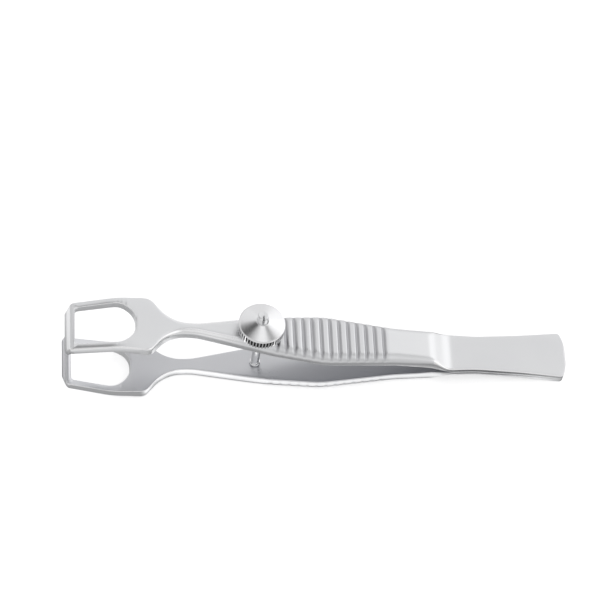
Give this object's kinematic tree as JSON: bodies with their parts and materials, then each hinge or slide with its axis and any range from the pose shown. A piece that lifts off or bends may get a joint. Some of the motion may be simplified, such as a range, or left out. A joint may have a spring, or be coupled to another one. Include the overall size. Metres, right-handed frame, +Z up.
{
  "type": "columella forceps",
  "caption": "Surgical forceps with two spring arms welded at the butt, windowed square tips, a cross-grooved grip and a thumb nut on a post that sets the gap.",
  "frame": {"origin": "middle of the bounding box, on the floor that the forceps lies on", "axes": "+X from the tips to the butt, +Y across the arms, +Z up from the lower arm to the upper arm, with the plane between the arms leant back by 5.7 degrees about Y as the forceps comes to rest"},
  "size_m": [0.1156, 0.014, 0.0231],
  "materials": {
    "satin_steel": "satin, glass-bead blasted",
    "post_steel": "bright turned",
    "turned_steel": "polished, with fine turning marks"
  },
  "bodies": {
    "lower": {"lower_arm": "satin_steel", "threaded_post": "post_steel"},
    "upper": {"upper_arm": "satin_steel"},
    "nut": {"thumb_nut": "turned_steel"}
  },
  "joints": [
    {"name": "arm_squeeze", "type": "hinge", "parent": "lower", "child": "upper", "pos_m": [0.03234, 0, 0.00368], "axis": [0, -1, 0], "range_deg": [0, 6.2], "stiffness_Nm_per_rad": 4},
    {"name": "nut_turn", "type": "hinge", "parent": "lower", "child": "nut", "pos_m": [-0.0124, 0, 0.01721], "axis": [0.0996, 0, 0.995], "continuous": true}
  ]
}
